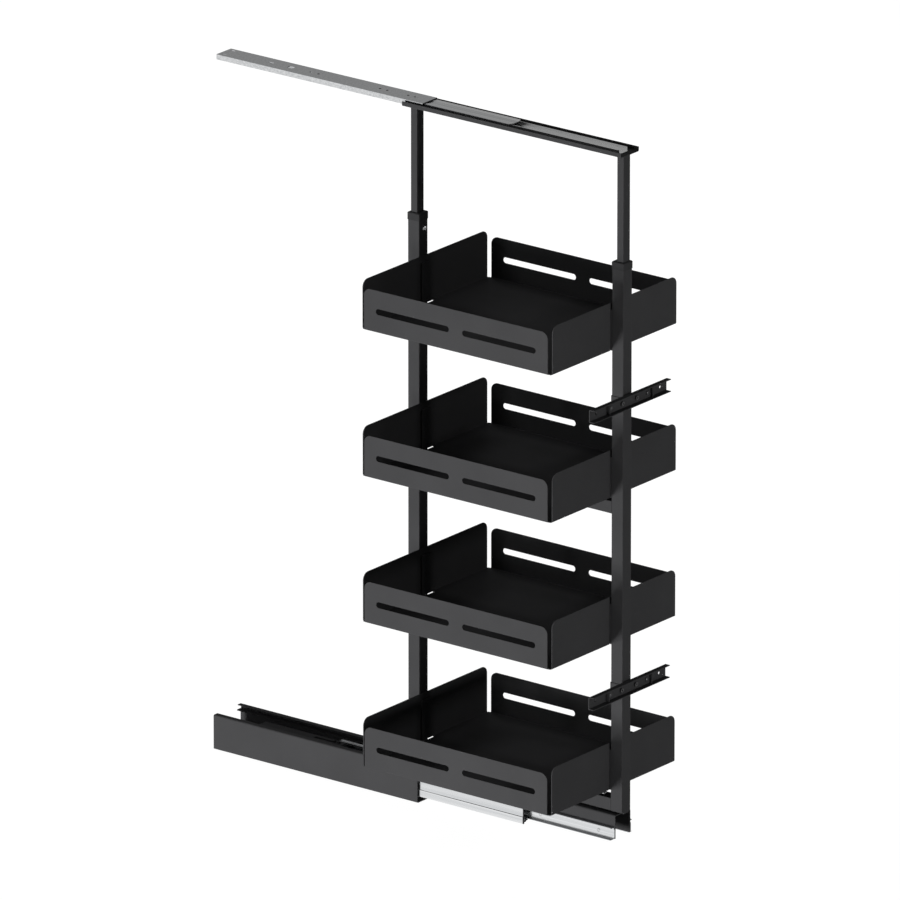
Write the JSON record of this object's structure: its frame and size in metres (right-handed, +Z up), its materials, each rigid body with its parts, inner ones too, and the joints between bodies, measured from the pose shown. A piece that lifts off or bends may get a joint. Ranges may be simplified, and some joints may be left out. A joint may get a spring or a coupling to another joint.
{
  "type": "pull-out pantry frame",
  "caption": "Tall pull-out larder frame with sheet-metal baskets on two posts, telescoping top rail, full-extension floor and ceiling slides, and door brackets.",
  "frame": {"origin": "middle of the base housing's underside, where it is screwed to the cabinet floor; the frame is pulled out", "axes": "+X across the cabinet, -Y the way the frame pulls out, +Z up"},
  "size_m": [0.3964, 0.9862, 1.407],
  "materials": {
    "black_powder_coat": "satin",
    "black_plastic": "matt",
    "zinc_steel": "satin",
    "black_screw": "satin",
    "bright_screw": "polished",
    "bearing_steel": "polished"
  },
  "bodies": {
    "base": {"base_housing": "black_powder_coat", "left_outer_slide": "black_powder_coat", "right_outer_slide": "black_powder_coat", "damper_bracket": "zinc_steel", "damper_screws": "bright_screw", "damper_case": "black_plastic", "damper_cylinder": "zinc_steel", "damper_spring": "zinc_steel"},
    "damper_catch": {"damper_catch": "black_plastic", "damper_rod": "bright_screw"},
    "bottom_middle": {"left_middle_slide": "zinc_steel", "right_middle_slide": "zinc_steel", "middle_slide_caps": "black_plastic"},
    "bottom_outer_cage": {"bottom_outer_cages": "black_plastic", "bottom_outer_balls": "bearing_steel"},
    "bottom_inner_cage": {"bottom_inner_cages": "black_plastic", "bottom_inner_balls": "bearing_steel"},
    "frame": {"carrier": "black_powder_coat", "left_inner_slide": "zinc_steel", "right_inner_slide": "zinc_steel", "carrier_rivets": "bright_screw", "pickup_pin": "bright_screw", "rear_foot_plate": "black_powder_coat", "front_foot_plate": "black_powder_coat", "foot_bolts": "bright_screw", "bottom_tube": "black_powder_coat", "cross_rail": "black_powder_coat", "rear_post": "black_powder_coat", "front_post": "black_powder_coat", "rear_collar": "black_plastic", "front_collar": "black_plastic", "clamp_nuts": "black_screw", "clamp_screws": "bright_screw", "rear_hangers": "black_powder_coat", "front_hangers": "black_powder_coat"},
    "upper_frame": {"rear_inner_tube": "black_powder_coat", "front_inner_tube": "black_powder_coat", "top_rail": "black_powder_coat", "top_inner_slide": "zinc_steel", "rail_rivets": "bright_screw"},
    "top_middle": {"top_middle_slide": "zinc_steel"},
    "top_inner_cage": {"top_inner_cages": "black_plastic", "top_inner_balls": "bearing_steel"},
    "top_outer_cage": {"top_outer_cages": "black_plastic", "top_outer_balls": "bearing_steel"},
    "ceiling_slide": {"top_outer_slide": "zinc_steel"},
    "basket_1": {"basket_1": "black_powder_coat"},
    "basket_2": {"basket_2": "black_powder_coat"},
    "basket_3": {"basket_3": "black_powder_coat"},
    "basket_4": {"basket_4": "black_powder_coat"},
    "upper_bracket_clamp": {"upper_bracket_strap": "black_powder_coat", "upper_bracket_plate": "black_powder_coat", "upper_bracket_screws": "black_screw", "upper_lock_screws": "black_screw"},
    "upper_bracket": {"upper_bracket_channel": "black_powder_coat"},
    "lower_bracket_clamp": {"lower_bracket_strap": "black_powder_coat", "lower_bracket_plate": "black_powder_coat", "lower_bracket_screws": "black_screw", "lower_lock_screws": "black_screw"},
    "lower_bracket": {"lower_bracket_channel": "black_powder_coat"}
  },
  "joints": [
    {"name": "frame_slide", "type": "slide", "parent": "base", "child": "frame", "axis": [0, -1, 0], "range_m": [-0.465, 0]},
    {"name": "bottom_middle_slide", "type": "slide", "parent": "base", "child": "bottom_middle", "axis": [0, -1, 0], "range_m": [-0.25213, 0]},
    {"name": "bottom_outer_cage_slide", "type": "slide", "parent": "base", "child": "bottom_outer_cage", "axis": [0, -1, 0], "range_m": [-0.12612, 0]},
    {"name": "bottom_inner_cage_slide", "type": "slide", "parent": "base", "child": "bottom_inner_cage", "axis": [0, -1, 0], "range_m": [-0.35862, 0]},
    {"name": "damper_catch_slide", "type": "slide", "parent": "base", "child": "damper_catch", "axis": [0, 1, 0], "range_m": [0, 0.045]},
    {"name": "height_adjust", "type": "slide", "parent": "frame", "child": "upper_frame", "axis": [0, 0, 1], "range_m": [-0.12, 0.09]},
    {"name": "top_middle_slide", "type": "slide", "parent": "upper_frame", "child": "top_middle", "axis": [0, -1, 0], "range_m": [0, 0.25817]},
    {"name": "top_inner_cage_slide", "type": "slide", "parent": "upper_frame", "child": "top_inner_cage", "axis": [0, -1, 0], "range_m": [0, 0.12914]},
    {"name": "top_outer_cage_slide", "type": "slide", "parent": "upper_frame", "child": "top_outer_cage", "axis": [0, -1, 0], "range_m": [0, 0.36164]},
    {"name": "ceiling_slide_travel", "type": "slide", "parent": "upper_frame", "child": "ceiling_slide", "axis": [0, -1, 0], "range_m": [0, 0.4651]},
    {"name": "basket_1_lift", "type": "slide", "parent": "frame", "child": "basket_1", "axis": [0, 0, 1], "range_m": [0, 0.15]},
    {"name": "basket_2_lift", "type": "slide", "parent": "frame", "child": "basket_2", "axis": [0, 0, 1], "range_m": [0, 0.15]},
    {"name": "basket_3_lift", "type": "slide", "parent": "frame", "child": "basket_3", "axis": [0, 0, 1], "range_m": [0, 0.15]},
    {"name": "basket_4_lift", "type": "slide", "parent": "frame", "child": "basket_4", "axis": [0, 0, 1], "range_m": [0, 0.15]},
    {"name": "upper_bracket_height", "type": "slide", "parent": "frame", "child": "upper_bracket_clamp", "axis": [0, 0, 1], "range_m": [-0.06, 0.06]},
    {"name": "upper_bracket_side", "type": "slide", "parent": "upper_bracket_clamp", "child": "upper_bracket", "axis": [1, 0, 0], "range_m": [-0.003, 0.003]},
    {"name": "lower_bracket_height", "type": "slide", "parent": "frame", "child": "lower_bracket_clamp", "axis": [0, 0, 1], "range_m": [-0.06, 0.06]},
    {"name": "lower_bracket_side", "type": "slide", "parent": "lower_bracket_clamp", "child": "lower_bracket", "axis": [1, 0, 0], "range_m": [-0.003, 0.003]}
  ],
  "couplings": [
    {"joint": "bottom_middle_slide", "follows": "frame_slide", "ratio": 0.542},
    {"joint": "bottom_outer_cage_slide", "follows": "frame_slide", "ratio": 0.271},
    {"joint": "bottom_inner_cage_slide", "follows": "frame_slide", "ratio": 0.771},
    {"joint": "top_middle_slide", "follows": "frame_slide", "ratio": -0.555},
    {"joint": "top_inner_cage_slide", "follows": "frame_slide", "ratio": -0.2775},
    {"joint": "top_outer_cage_slide", "follows": "frame_slide", "ratio": -0.7775},
    {"joint": "ceiling_slide_travel", "follows": "frame_slide", "ratio": -1}
  ]
}
